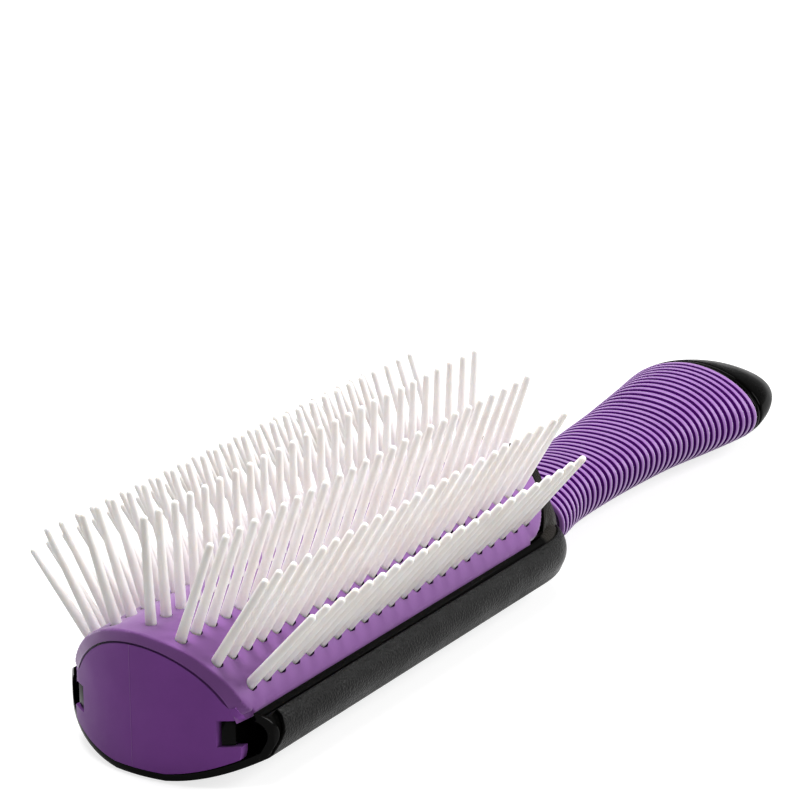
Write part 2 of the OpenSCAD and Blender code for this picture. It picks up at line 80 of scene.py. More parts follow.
# Head: half-width, radius of the back, half-width of its land, and radius of the front corners
HALF_W, BACK_R, LAND, HEAD_CORNER = 21.2, 41.976, 5.0, 2.2
# Rails: radius and height of the rolled side, and radius of the lower corner
RAIL_R, RAIL_Z, RAIL_C = 5.0, 8.6, 1.8
# Start, length and power of the head's rounded rear
ROUND_X, HEAD_L, HEAD_P = 98.0, 17.05, 2.8
# Back shell: thickness, setback at the front, and height of its edge over the middle of a rail
SHELL_T, SHELL_SETBACK, SHELL_RISE = 0.6, 1.0, 3.7
SHELL_RAKE = 2.8  # how far the front edge leans back at the top of a rail


# Materials
def srgb(r, g, b):
    """Linear colour of an sRGB triple from 0 to 255."""
    lin = [(c / 255 / 12.92) if c <= 10 else ((c / 255 + 0.055) / 1.055) ** 2.4 for c in (r, g, b)]
    return (*lin, 1.0)


def grey(v):
    return (v, v, v, 1)


def shade(colour, k):
    """The colour, darker or lighter by a factor."""
    return tuple(min(1, v * k) for v in colour[:3]) + (1,)


def material(name, base, rough, **more):
    """New material with its node tree and shader. Each further name is an input of the shader."""
    m = bpy.data.materials.new(name)
    m.use_nodes = True
    p = m.node_tree.nodes["Principled BSDF"]
    p.inputs["Base Color"].default_value = base
    p.inputs["Roughness"].default_value = rough
    for key, value in more.items():
        p.inputs[key.replace("_", " ")].default_value = value
    return m, m.node_tree, p


def add(tree, kind, **values):
    """New node. Each further name is one of its inputs, or else a setting of it."""
    n = tree.nodes.new(kind)
    for key, value in values.items():
        if key in n.inputs:
            n.inputs[key].default_value = value
        else:
            setattr(n, key, value)
    return n


def coords(tree):
    return add(tree, "ShaderNodeTexCoord").outputs["Object"]


def noise(tree, scale, detail):
    n = add(tree, "ShaderNodeTexNoise", Scale=scale, Detail=detail, Roughness=0.5)
    tree.links.new(coords(tree), n.inputs["Vector"])
    return n.outputs["Fac"]


def pebbles(tree):
    """Height of the fine leather-like grain, whose cells are under half a millimetre wide."""
    n = add(tree, "ShaderNodeTexVoronoi", Scale=2300)
    tree.links.new(coords(tree), n.inputs["Vector"])
    return n.outputs["Distance"]


def ramp(tree, fac, stops):
    n = tree.nodes.new("ShaderNodeValToRGB")
    e = n.color_ramp.elements
    while len(e) < len(stops):
        e.new(0.5)
    for item, (position, colour) in zip(e, stops):
        item.position = position
        item.color = colour
    tree.links.new(fac, n.inputs["Fac"])
    return n.outputs["Color"]


def vary(tree, socket, scale, detail, low, high, start=0.3):
    """Lets noise of a scale take an input from one colour or grey to another."""
    tree.links.new(ramp(tree, noise(tree, scale, detail), [(start, low), (0.7, high)]), socket)


def bump(tree, height, strength, distance, normal=None):
    n = add(tree, "ShaderNodeBump", Strength=strength, Distance=distance)
    tree.links.new(height, n.inputs["Height"])
    if normal is not None:
        tree.links.new(normal, n.inputs["Normal"])
    return n.outputs["Normal"]


def maths(tree, kind, *values):
    """A calculation with numbers and with outputs of other nodes."""
    n = add(tree, "ShaderNodeMath", operation=kind)
    for socket, value in zip(n.inputs, values):
        if hasattr(value, "links"):
            tree.links.new(value, socket)
        else:
            socket.default_value = value
    return n.outputs[0]


def within(tree, axis, low, high, soft):
    """1 between two places along an axis of the object, 0 elsewhere, with soft ends."""
    split = add(tree, "ShaderNodeSeparateXYZ")
    tree.links.new(coords(tree), split.inputs[0])
    at = split.outputs[axis]
    up = maths(tree, "MULTIPLY_ADD", at, 1 / soft, -low / soft)
    down = maths(tree, "MULTIPLY_ADD", at, -1 / soft, high / soft)
    lowest = maths(tree, "MINIMUM", up, down)
    return maths(tree, "MINIMUM", maths(tree, "MAXIMUM", lowest, 0.0), 1.0)


def rubber(name, colour, rough, gloss, bloom):
    """Soft moulded rubber: a faint bloom in the colour, uneven roughness and a fine skin."""
    m, t, p = material(name, colour, rough, Specular_IOR_Level=gloss, Sheen_Weight=bloom,
                       Sheen_Roughness=0.45)
    p.inputs["Sheen Tint"].default_value = (0.9, 0.82, 0.95, 1)
    vary(t, p.inputs["Base Color"], 90, 4, shade(colour, 0.93), shade(colour, 1.07))
    vary(t, p.inputs["Roughness"], 260, 3, grey(rough - 0.05), grey(rough + 0.06))
    skin = bump(t, noise(t, 3200, 2), 0.25, 0.00003)
    t.links.new(bump(t, noise(t, 420, 2), 0.2, 0.00008, skin), p.inputs["Normal"])
    return m


def mould_line(m, y):
    """A fine raised line, where the halves of the mould met."""
    t = m.node_tree
    normal = t.nodes["Principled BSDF"].inputs["Normal"]
    half = 0.00012
    line = within(t, "Y", y - half, y + half, half)
    t.links.new(bump(t, line, 0.6, half, normal.links[0].from_socket), normal)


def black(name, colour, rough, grain, gloss, band=None):
    """Moulded black plastic with grain all over, with a paler grained band along X, or with faint
    flow marks. The band is its start, its end and the softness of its ends."""
    m, t, p = material(name, colour, rough, Specular_IOR_Level=gloss)
    dark, light = shade(colour, 0.8), shade(colour, 1.3)
    vary(t, p.inputs["Base Color"], 60, 4, dark, light)
    vary(t, p.inputs["Roughness"], 180, 4, grey(rough - 0.05), grey(rough + 0.08), 0.35)
    strength, depth = 0.75, 0.00016
    if grain:
        coarse = bump(t, pebbles(t), strength, depth)
        t.links.new(bump(t, noise(t, 5200, 2), 0.4, 0.00005, coarse), p.inputs["Normal"])
    elif band:
        inside = within(t, "X", *band)
        lift, rougher = 0.5, 0.24
        paler = maths(t, "MULTIPLY_ADD", inside, lift, noise(t, 60, 4))
        stops = [(0.3, dark), (0.7, light), (1.0, (0.02, 0.018, 0.0155, 1))]
        t.links.new(ramp(t, paler, stops), p.inputs["Base Color"])
        height = maths(t, "MULTIPLY", pebbles(t), inside)
        t.links.new(bump(t, height, strength, depth), p.inputs["Normal"])
        t.links.new(maths(t, "MULTIPLY_ADD", inside, rougher, rough), p.inputs["Roughness"])
    else:
        t.links.new(bump(t, noise(t, 240, 2), 0.12, 0.00012), p.inputs["Normal"])
    return m


def polished():
    """The end cap's black, with a thin clear gloss over it."""
    m = black("cap_gloss", (0.0008, 0.0008, 0.0007, 1), 0.3, False, 0.004)
    p = m.node_tree.nodes["Principled BSDF"]
    p.inputs["Coat Weight"].default_value = 0.06
    p.inputs["Coat Roughness"].default_value = 0.06
    return m


def nylon():
    """Milky white nylon, which lets a little light through."""
    m, t, p = material("pin_nylon", srgb(246, 243, 239), 0.38, Subsurface_Weight=0.35,
                       Subsurface_Scale=0.0012, Specular_IOR_Level=0.45)
    p.inputs["Subsurface Radius"].default_value = (1.0, 0.85, 0.7)
    vary(t, p.inputs["Base Color"], 130, 3, srgb(242, 238, 234), srgb(251, 249, 246))
    vary(t, p.inputs["Roughness"], 700, 2, grey(0.32), grey(0.46))
    t.links.new(bump(t, noise(t, 900, 2), 0.15, 0.00006), p.inputs["Normal"])
    return m


PAD_COLOUR = srgb(120, 72, 138)
MAT_PAD = rubber("pad_rubber", PAD_COLOUR, 0.5, 0.1, 0.75)
# the front wall's copy of the pad's rubber, more saturated and with less bloom: painted shade for the
# front, which faces away from the lamps
MAT_WALL = rubber("pad_wall_rubber", srgb(124, 66, 148), 0.5, 0.1, 0.25)
mould_line(MAT_WALL, 0.0011)
# the pin holes' walls: the pad's colour at 0.12, painted shade in the hollows
MAT_HOLE_SHADE = rubber("pin_hole_painted_shade", shade(PAD_COLOUR, 0.12), 0.8, 0.0, 0.0)
MAT_RIB = rubber("grip_rubber", srgb(134, 88, 157), 0.4, 0.3, 0.7)
# the deep parts of the grooves: a darker purple of the same rubber, painted shade in the grooves
MAT_GROOVE_SHADE = rubber("grip_groove_painted_shade", srgb(64, 10, 92), 0.7, 0.03, 0.0)
COLLAR_BAND = ((X0 + 99.5) * MM, (X0 + 114.5) * MM, 2 * MM)  # round the rear of the pad
MAT_FRAME = black("frame_gloss", (0.0015, 0.0015, 0.0014, 1), 0.18, False, 0.04, COLLAR_BAND)
MAT_SHELL = black("shell_grain", (0.003, 0.0031, 0.0029, 1), 0.38, True, 0.09)
MAT_CAP = polished()
MAT_PIN = nylon()


# Mesh helpers
def make(name, points, faces, mats, smooth_angle, face_mats=None):
    """Mesh object from points in millimetres from the free end."""
    pts = (np.asarray(points, float) + (X0, 0, 0)) * MM
    me = bpy.data.meshes.new(name)
    me.from_pydata(pts.tolist(), [], [tuple(int(i) for i in f) for f in faces])
    bm = bmesh.new()
    bm.from_mesh(me)
    bmesh.ops.recalc_face_normals(bm, faces=bm.faces)
    bm.to_mesh(me)
    bm.free()
    for m in mats:
        me.materials.append(m)
    if face_mats is not None:
        me.polygons.foreach_set("material_index", np.asarray(face_mats, np.int32))
    me.shade_smooth()
    me.set_sharp_from_angle(angle=math.radians(smooth_angle))
    o = bpy.data.objects.new(name, me)
    bpy.context.scene.collection.objects.link(o)
    return o


def drop_loose(o):
    """Takes out the points that no face uses."""
    bm = bmesh.new()
    bm.from_mesh(o.data)
    bmesh.ops.delete(bm, geom=[v for v in bm.verts if not v.link_faces], context="VERTS")
    bm.to_mesh(o.data)
    bm.free()


def soften(o, width, segments, angle, harden=True):
    """Rounds the edges that are sharper than an angle."""
    b = o.modifiers.new("edges", "BEVEL")
    b.width = width * MM
    b.segments = segments
    b.limit_method = "ANGLE"
    b.angle_limit = math.radians(angle)
    b.harden_normals = harden


def place(o, body, slot, *nodes):
    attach(o, body)
    if nodes:
        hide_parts(*nodes)


def tube(count, n, base=0, looped=False):
    """Faces over count rings of n points each, which are numbered from base on. The tube has end
    faces, unless it is looped: then its last ring joins its first."""
    faces = []
    for i in range(count if looped else count - 1):
        a, b = base + i * n, base + (i + 1) % count * n
        faces += [(a + k, a + (k + 1) % n, b + (k + 1) % n, b + k) for k in range(n)]
    if not looped:
        last = base + (count - 1) * n
        faces += [tuple(range(base, base + n)), tuple(range(last, last + n))]
    return faces


# Sections of the grip and the end cap
def spline(values, t):
    """Smooth curve through evenly spaced values, for t from 0 to 1."""
    n = len(values) - 1
    i = min(n - 1, max(0, math.floor(t * n)))
    f = t * n - i
    a, b, c, d = (values[max(0, min(n, k))] for k in range(i - 1, i + 3))
    return (b + f * (c - a) / 2 + f * f * (a - 2.5 * b + 2 * c - d / 2)
            + f ** 3 * (1.5 * b - a / 2 - 1.5 * c + d / 2))


def ring(x, w, crown, waist, belly, upper):
    """One ring: half-width, and the heights of the crown, of the widest level and of the belly."""
    a = 2 * np.pi * (np.arange(RING) + 0.5) / RING
    up = np.sin(a) > 0
    power = np.where(up, upper, LOWER_P)
    h = np.where(up, crown - waist, waist - belly)
    across, rise = (np.sign(v) * np.abs(v) ** (2 / power) for v in (np.cos(a), np.sin(a)))
    return np.stack([np.full(RING, x), w * across, waist + h * rise], 1)


def grip_ring(x, inset):
    t = (x - GRIP_A) / GRIP_L
    turn_from, turn_over = 0.7, 0.3
    upper = UPPER_P + (END_P - UPPER_P) * max(0.0, (t - turn_from) / turn_over)
    return ring(x, spline(WIDTHS, t) * GRIP_W - inset, spline(CROWNS, t) * GRIP_TOP - inset,
                spline(WAISTS, t) * GRIP_TOP, spline(BELLIES, t) * GRIP_TOP + inset, upper)


def cap_ring(share, inset=0.0):
    """The sides stay full longer, while the top slopes down to the tip almost straight."""
    wide, high, low = ((1 - (CAP_SHARE * share) ** p) ** (1 / p) for p in CAP_P)
    crown, waist, belly = (v[-1] * GRIP_TOP for v in (CROWNS, WAISTS, BELLIES))
    return ring(GRIP_A + GRIP_L + CAP_L * share, wide * GRIP_W - inset,
                waist + (crown - waist) * high - inset, waist,
                waist - (waist - belly) * low + inset, END_P)


# Grip
# A groove and its rib: place as a share of their spacing, and depth as a share of the groove's
GROOVE = [(0.0, 0.15), (0.05, 0.45), (0.1, 0.75), (0.16, 0.95), (0.26, 1.0), (0.36, 0.95),
          (0.42, 0.75), (0.47, 0.45), (0.52, 0.15), (0.64, 0.03), (0.77, 0.0), (0.9, 0.03)]


def grip():
    """The sleeve, as one closed wall that runs along its outside and back along its inside."""
    count, depth, wall, shade_depth = 37, 0.6, 1.2, 0.15
    front, rear = 0.64, 0.25  # the plain ends
    pitch = (GRIP_L - front - rear) / count
    # each stop is a place along the grip and an inset from its outline
    lead_in = [(0, wall), (0.0, 0.35), (0.12, 0.1), (0.35, 0)]
    ribs = [(front - 0.05, 0.02)]
    ribs += [(front + (k + share) * pitch, depth * d) for k in range(count) for share, d in GROOVE]
    lead_out = [(GRIP_L - rear, 0.05), (GRIP_L - 0.1, 0.12), (GRIP_L, 0.35), (GRIP_L, wall)]
    inside = [(x, wall) for x in np.linspace(GRIP_L, 0, 25)[1:-1]]
    loop = lead_in + ribs + lead_out + inside
    rings = [grip_ring(GRIP_A + x, inset) for x, inset in loop]
    ribbed = range(len(lead_in) - 1, len(lead_in) + len(ribs))
    # faces deeper in a groove than that depth take the groove material, which is painted shade
    deep = [i in ribbed and (loop[i][1] + loop[i + 1][1]) / 2 >= shade_depth for i in range(len(loop))]
    o = make("grip_ribbed", np.concatenate(rings), tube(len(rings), RING, looped=True),
             [MAT_RIB, MAT_GROOVE_SHADE], 60, np.repeat(deep, RING))
    place(o, "frame", "grip_rubber", "grip_sleeve")


# End cap
def end_cap():
    # the rounded edge, the collar and its small groove: place as a share of the cap, and inset
    collar = [(0.0, 1.2), (0.0, 0.55), (0.006, 0.3), (0.014, 0.12), (0.024, 0.05), (0.05, 0.03),
              (0.058, 0.12), (0.064, 0.32), (0.07, 0.5), (0.08, 0.5), (0.086, 0.25), (0.094, 0.08),
              (0.104, 0.01)]
    rings = [cap_ring(share, inset) for share, inset in collar]
    rings += [cap_ring(math.sin(math.radians(a))) for a in np.linspace(7.5, 90, 40)]
    o = make("cap_polished", np.concatenate(rings), tube(len(rings), RING), [MAT_CAP], 50)
    place(o, "frame", "cap_plastic", "end_cap")


# Pins
PIN_SIDES = 16
LEAN_SPREAD, FAN_SPREAD = 0.9, 1.1  # how unevenly the pins stand, in degrees
# Distance along a pin from the skin, and its radius there, up to the rounded tip
PIN = [(-3.0, 0.95), (0, 0.95), (6, 0.845), (12, 0.74), (18.2, 0.645)]
PIN += [(18.35 + 0.65 * math.sin(a), 0.64 * math.cos(a)) for a in np.radians([15, 35, 55, 75])]
# The strip at the roots: its distances from the arch's axis, its half-width, and its end past a pin
STRIP_LOW, STRIP_HIGH, STRIP_W, STRIP_END = 15.37, 16.5, 1.5, 1.1


def scatter(row, k, by_row, by_pin, spread):
    """A value from -0.5 to 0.5 that looks random and is the same in each run."""
    v = math.sin(by_pin * k + by_row * row) * spread
    return v - math.floor(v) - 0.5


def pin_direction(row, k):
    angle, lean_share, count, _ = ROWS[row]
    lean = math.radians(-angle * lean_share)
    middle = (count - 1) / 2
    fan = math.radians(FAN * (k - middle) / middle) if row == MIDDLE_ROW else 0
    lean += math.radians(LEAN_SPREAD * scatter(row, k, 78.233, 12.9898, 43758.5453))
    fan += math.radians(FAN_SPREAD * scatter(row, k, 11.135, 39.3468, 24634.6345))
    # the pin's Z axis, fanned about Y and then leaned about X
    d = np.array([math.sin(fan), 0, math.cos(fan)])
    c, s = math.cos(-lean), math.sin(-lean)
    return np.array([d[0], d[1] * c - d[2] * s, d[1] * s + d[2] * c])


def pins(row):
    """A row of pins, and the strip under the skin that holds them."""
    angle, _, count, start = ROWS[row]
    a = math.radians(angle)
    out = np.array([0, -math.sin(a), math.cos(a)])
    side = np.array([0, math.cos(a), math.sin(a)])
    axis = np.array([0, 0, PAD_Z])
    turn = 2 * np.pi * np.arange(PIN_SIDES) / PIN_SIDES
    pts, faces = [], []
    for k in range(count):
        d = pin_direction(row, k)
        root = np.array([(start + k) * PITCH, 0, 0]) + axis + PAD_R * out
        u = np.cross(d, (1, 0, 0))
        u /= np.linalg.norm(u)
        v = np.cross(d, u)
        faces += tube(len(PIN), PIN_SIDES, len(pts))
        for along, r in PIN:
            pts += [root + d * along + r * (math.cos(t) * u + math.sin(t) * v) for t in turn]
    faces += tube(2, 4, len(pts))
    for x in (start * PITCH - STRIP_END, (start + count - 1) * PITCH + STRIP_END):
        pts += [np.array([x, 0, 0]) + axis + out * r + side * w
                for r, w in ((STRIP_LOW, -STRIP_W), (STRIP_LOW, STRIP_W),
                             (STRIP_HIGH, STRIP_W), (STRIP_HIGH, -STRIP_W))]
    o = make(f"pins_{row + 1}", pts, faces, [MAT_PIN], 55)
    place(o, "cushion", "pin_nylon", f"pin_row_{row + 1}")


# Pad
# Angles on the arch: where its side turns upright, the top of the notch, and the lower edge
TH_SIDE = math.asin(PAD_W / PAD_R)
TH_NOTCH = math.acos((NOTCH_TOP - PAD_Z) / PAD_R)
TH_SKIRT = math.acos((SKIRT_Z - PAD_Z) / PAD_R)
TH_LOW = np.linspace(TH_NOTCH + 0.02, TH_SKIRT, 5)  # steps between these two
HOLE_SIDES = 20
SLACK = 0.02  # the skin ends this much short of the solid's rear


def bow(y):
    return BOW_R - np.sqrt(BOW_R ** 2 - np.asarray(y, float) ** 2)


def side_y(theta):
    """Half-width of the outer surface: round over the arch, upright below it."""
    return np.sign(theta) * np.minimum(PAD_R * np.sin(np.abs(theta)), PAD_W)


def front_edge(y):
    """Front of the pad from above: the bow, and a rounded corner at each end of it."""
    y = np.minimum(np.abs(y), PAD_W)
    flank = BOW_R - math.sqrt((BOW_R - CORNER) ** 2 - (PAD_W - CORNER) ** 2)
    join = BOW_R * (PAD_W - CORNER) / (BOW_R - CORNER)
    past = np.maximum(0, y - PAD_W + CORNER)
    return np.where(y < join, bow(y), flank - np.sqrt(np.maximum(0, CORNER ** 2 - past ** 2)))


def skin_front(theta):
    """Front of the skin at an angle on the arch. Below the top of the notch it steps back."""
    a = np.abs(theta)
    y = side_y(a)
    return np.where(a > TH_NOTCH + 1e-6, bow(y) + NOTCH_L, front_edge(y))


def skin_rear(theta):
    share = np.minimum(1, np.abs(side_y(theta)) / PAD_W)
    return PAD_L - ROUND_L + ROUND_L * np.maximum(0, 1 - share ** REAR_P) ** (1 / REAR_P) - SLACK


def sheet_outline():
    """Outline of the skin, cut flat: places along the brush, and lengths round the arch."""
    side = (TH_NOTCH + TH_SIDE) / 2
    # closer steps round the corners, where the outline turns
    arch = TH_SIDE * np.sin(np.linspace(-1, 1, 111) * math.pi / 2)
    arch = np.concatenate([[-TH_NOTCH, -side], arch, [side, TH_NOTCH]])
    step_x = float(bow(PAD_W)) + NOTCH_L
    outline = [(skin_front(t), t) for t in arch]
    outline += [(step_x, TH_NOTCH)] + [(skin_front(t), t) for t in TH_LOW]
    outline += [(skin_rear(t), t) for t in np.concatenate([TH_LOW[::-1], arch[::-1], -TH_LOW])]
    outline += [(skin_front(-t), -t) for t in TH_LOW[::-1]] + [(step_x, -TH_NOTCH)]
    return np.array([(float(x), float(t) * PAD_R) for x, t in outline])


def sheet_holes():
    """Each pin's hole in the flat sheet: its middle, its radius, and its reach round the arch."""
    holes = []
    # the outer rows' holes are wider and sit a little to the outer side, so a dark edge of the hole walls,
    # with their painted shade, shows there
    middle_r, wider, aside = 1.06, 0.002, 0.25
    for angle, lean_share, count, start in ROWS:
        tilt = math.radians(abs(angle) * (1 - lean_share))
        s = -math.radians(angle) * PAD_R - aside * math.sin(math.radians(angle) * 1.5)
        r = middle_r + wider * abs(angle)
        holes += [((start + k) * PITCH, s, r, r / math.cos(tilt)) for k in range(count)]
    return np.array(holes)


def sheet_grid(holes):
    """Points inside the flat sheet and clear of its holes, close together at its ends."""
    points = []
    near, end, hole_gap = (0.06, 0.16, 0.32, 0.6), 1.4, 1.5
    low = TH_LOW[:-1]
    for t in np.concatenate([-low[::-1], np.linspace(-TH_NOTCH, TH_NOTCH, 83), low]):
        a, b = float(skin_front(t)), float(skin_rear(t))
        xs = [a + d for d in near] + list(np.linspace(a + end, b - end, 52))
        xs += [b - d for d in near[::-1]]
        for x in xs:
            p = np.array([x, t * PAD_R])
            if np.min(np.hypot(*(holes[:, :2] - p).T)) > hole_gap:
                points.append(Vector(p))
    return points


def cut_sheet(outline, holes):
    """The skin as a flat sheet with its pin holes: points and triangles."""
    turn = np.linspace(0, 2 * math.pi, HOLE_SIDES, endpoint=False)
    chains = [outline]
    chains += [[(x + r * math.cos(a), s + reach * math.sin(a)) for a in turn] for x, s, r, reach in holes]
    verts, edges = [], []
    for chain in chains:
        first, n = len(verts), len(chain)
        verts += [Vector((float(x), float(s))) for x, s in chain]
        edges += [(first + i, first + (i + 1) % n) for i in range(n)]
    res = geometry.delaunay_2d_cdt(verts + sheet_grid(holes), edges, [], 1, 1e-5)
    flat = np.array([tuple(v) for v in res[0]])
    tris = np.array(res[2])
    # the triangles whose middle lies in a hole or past an end are cut away
    middle = flat[tris].mean(1)
    keep = np.ones(len(tris), bool)
    hole_slack, end_slack = 0.08, 0.02
    for x, s, r, _ in holes:
        keep &= np.hypot(middle[:, 0] - x, middle[:, 1] - s) > r - hole_slack
    theta = middle[:, 1] / PAD_R
    keep &= middle[:, 0] > skin_front(theta) - end_slack
    keep &= middle[:, 0] < skin_rear(theta) + end_slack
    return flat, tris[keep]


def outline_distance(flat, outline):
    """Distance of each point to the nearest edge of the outline, up to 9."""
    d = np.full(len(flat), 9.0)
    for p, q in zip(outline, np.roll(outline, -1, 0) - outline):
        share = np.clip(((flat - p) @ q) / max(1e-12, q @ q), 0, 1)
        d = np.minimum(d, np.hypot(*(flat - p - share[:, None] * q).T))
    return d


def outer_skin(flat, outline, to_hole):
    """The sheet rolled up to the outer surface, with rounded ends and a dimple round each hole."""
    edge_r, dimple, dimple_w = 0.4, 0.1, 0.25
    theta = flat[:, 1] / PAD_R
    inside = np.maximum(0, edge_r - outline_distance(flat, outline))
    fall = edge_r - np.sqrt(np.maximum(0, edge_r ** 2 - inside ** 2))
    fall = np.where(np.abs(theta) < TH_NOTCH + 0.01, fall, 0)
    fall = fall + dimple * np.exp(-np.maximum(0, to_hole) / dimple_w)
    slant = np.where(np.abs(theta) > TH_SIDE, math.pi / 2, np.abs(theta))
    return np.stack([flat[:, 0], side_y(theta) - np.sign(theta) * fall * np.sin(slant),
                     PAD_Z + PAD_R * np.cos(theta) - fall * np.cos(slant)], 1)


def inner_skin(flat):
    """The sheet rolled up to the inner surface. Its holes are moved round the arch, because they
    run along the pins, which lean less than the arch does."""
    theta = flat[:, 1] / PAD_R
    known = np.radians([0, 20.1, 40.2, 58, 90])
    shift = SKIN * np.tan(np.radians([0, 0.6, 8.8, 17.4, 17.4]))
    moved = theta - np.sign(theta) * np.interp(np.abs(theta), known, shift) / PAD_R
    below_rows = 1.2  # no hole lies past this angle
    moved = np.where(np.abs(theta) > below_rows, theta, moved)
    r = PAD_R - SKIN
    inner = np.stack([flat[:, 0], r * np.sin(moved), PAD_Z + r * np.cos(moved)], 1)
    # the inner edge follows the bow too, so the front end is one smooth face
    end_l = 1.2
    lead = np.clip(1 - (flat[:, 0] - skin_front(theta)) / end_l, 0, 1) * (np.abs(theta) < TH_NOTCH + 1e-3)
    inner[:, 0] += lead * (front_edge(inner[:, 1]) - front_edge(side_y(theta)))
    return inner


def pad():
    """The arched skin with its pin holes. Walls join its two surfaces along every open edge."""
    outline, holes = sheet_outline(), sheet_holes()
    flat, tris = cut_sheet(outline, holes)
    apart = np.hypot(flat[:, None, 0] - holes[None, :, 0], flat[:, None, 1] - holes[None, :, 1])
    to_hole = np.min(apart - holes[None, :, 2], 1)
    uses = {}
    for f in tris:
        for a, b in ((f[0], f[1]), (f[1], f[2]), (f[2], f[0])):
            key = (min(a, b), max(a, b))
            uses[key] = uses.get(key, 0) + 1
    walls = [edge for edge, count in uses.items() if count == 1]
    n = len(flat)
    faces = [tuple(f) for f in tris] + [tuple(n + i for i in f[::-1]) for f in tris]
    faces += [(a, b, n + b, n + a) for a, b in walls]
    # the walls round the pin holes take the hole material, which is painted shade
    hole_edge = 0.15
    in_hole = [max(to_hole[a], to_hole[b]) < hole_edge for a, b in walls]
    points = np.concatenate([outer_skin(flat, outline, to_hole), inner_skin(flat)])
    o = make("pad_rubber_skin", points, faces, [MAT_PAD, MAT_HOLE_SHADE], 50,
             np.concatenate([np.zeros(2 * len(tris)), in_hole]))
    drop_loose(o)
    place(o, "cushion", "pad_rubber", "pad")


# Front wall of the pad
SLIT_W, SLIT_BEND, SLIT_END = 0.38, 58, 65  # width of the slit, and the angles where it closes
# Radius at which the wall runs on under the skin past the slit's ends, and the angles of that stretch
JOIN_R, JOIN_FROM, JOIN_TO, JOIN_END = PAD_R - SKIN + 0.8, 65.6, 72.9, 73.4
# Arc along the lower edge: radius, height of its middle, and half-widths at its ends
PLATE_R, PLATE_Z, PLATE_W, PLATE_LAND = 40.3, 41.7, 16.5, 4.9
FOOT_Z = 6.2  # where the wall's side ends above that arc


def polar(r, degrees):
    return r * math.sin(math.radians(degrees)), PAD_Z + r * math.cos(math.radians(degrees))


def wall_outline():
    """Outline of the front wall from the front: along the slit, round a notch, along the lower arc
    and back up the other side."""
    slit_r = PAD_R - SKIN - SLIT_W
    half = [polar(slit_r, a) for a in np.linspace(0, SLIT_BEND, 40)]
    half += [polar(slit_r + SLIT_W * ((a - SLIT_BEND) / (SLIT_END - SLIT_BEND)) ** 2, a)
             for a in (60, 62, 63.5, SLIT_END)]
    half += [polar(JOIN_R, a) for a in np.linspace(JOIN_FROM, JOIN_TO, 6)]
    half += [(JOIN_R * math.sin(math.radians(JOIN_END)), NOTCH_TOP), (NOTCH_W, NOTCH_TOP)]
    half += [(NOTCH_W, NOTCH_LOW), (WALL_W, NOTCH_LOW), (WALL_W, FOOT_Z)]
    half += [(y, PLATE_Z - math.sqrt(PLATE_R ** 2 - y * y)) for y in np.linspace(PLATE_W, PLATE_LAND, 24)]
    return half + [(-y, z) for y, z in half[::-1] if y > 1e-6]


def bow_forward(v):
    """Gives a point of the flat wall the bow of the pad's front."""
    lead = float(bow(v.co.y))
    if v.co.z > NOTCH_TOP - 0.1 and math.hypot(v.co.y, v.co.z - PAD_Z) > PAD_R - SKIN + 0.4:
        # where it joins the skin it stays under it, and turns back with the skin's corner
        corner_y, slope = 16.2, 1.75
        lead = max(lead + 0.03, float(bow(corner_y)) + slope * (abs(v.co.y) - corner_y) + 0.15)
    v.co.x += lead


def pad_front():
    """The front wall: an outline cut out of a flat sheet, bowed, with soft edges."""
    outline = wall_outline()
    bm = bmesh.new()
    front, rear = [[bm.verts.new((x, y, z)) for y, z in outline] for x in (0.0, WALL_T)]
    bm.faces.new(front)
    bm.faces.new(rear[::-1])
    n = len(outline)
    for i in range(n):
        bm.faces.new((front[i], rear[i], rear[(i + 1) % n], front[(i + 1) % n]))
    # narrow strips, so that it can bend, with cuts that stay off the middle of the outline
    last_cut, strip, off_middle = 16.6, 0.83, 0.013
    for y in np.arange(-last_cut, last_cut + 0.01, strip):
        geom = bm.verts[:] + bm.edges[:] + bm.faces[:]
        bmesh.ops.bisect_plane(bm, geom=geom, plane_co=(0, y + off_middle, 0), plane_no=(0, 1, 0))
    for v in bm.verts:
        bow_forward(v)
    bmesh.ops.triangulate(bm, faces=bm.faces)
    bm.verts.index_update()
    pts = [tuple(v.co) for v in bm.verts]
    faces = [tuple(v.index for v in f.verts) for f in bm.faces]
    bm.free()
    o = make("pad_front_wall", pts, faces, [MAT_WALL], 40)
    soften(o, 0.22, 3, 45)
    place(o, "cushion", "pad_rubber")


# Back shell
def shell_section():
    """Points from the land on the back to the shell's upper edge on the side of a rail."""
    corner_in = 1.44  # from the side to the lower corner's middle, in radii of the corner
    back_z = math.sqrt(BACK_R ** 2 - LAND ** 2)
    corner_y = HALF_W - RAIL_C * corner_in
    back_a = math.asin(corner_y / (BACK_R - RAIL_C))
    corner_z = back_z - (BACK_R - RAIL_C) * math.cos(back_a)
    dy, dz = corner_y - HALF_W + RAIL_R, RAIL_Z - corner_z
    turn = math.atan2(dz, dy) - math.acos((RAIL_R - RAIL_C) / math.hypot(dy, dz))
    quarter = math.pi / 2
    # the back, a lower corner and a rolled side: middle, radius, first and last angle, and points
    arcs = [(0, back_z, BACK_R, math.asin(LAND / BACK_R) - quarter, back_a - quarter, 24),
            (corner_y, corner_z, RAIL_C, back_a - quarter, -turn, 8),
            (HALF_W - RAIL_R, RAIL_Z, RAIL_R, -turn, math.asin(SHELL_RISE / RAIL_R), 22)]
    pts = [(cy + r * math.cos(a), cz + r * math.sin(a))
           for cy, cz, r, lo, hi, n in arcs for a in np.linspace(lo, hi, n)[:-1]]
    cy, cz, r, _, hi, _ = arcs[-1]
    return pts + [(cy + r * math.cos(hi), cz + r * math.sin(hi))]


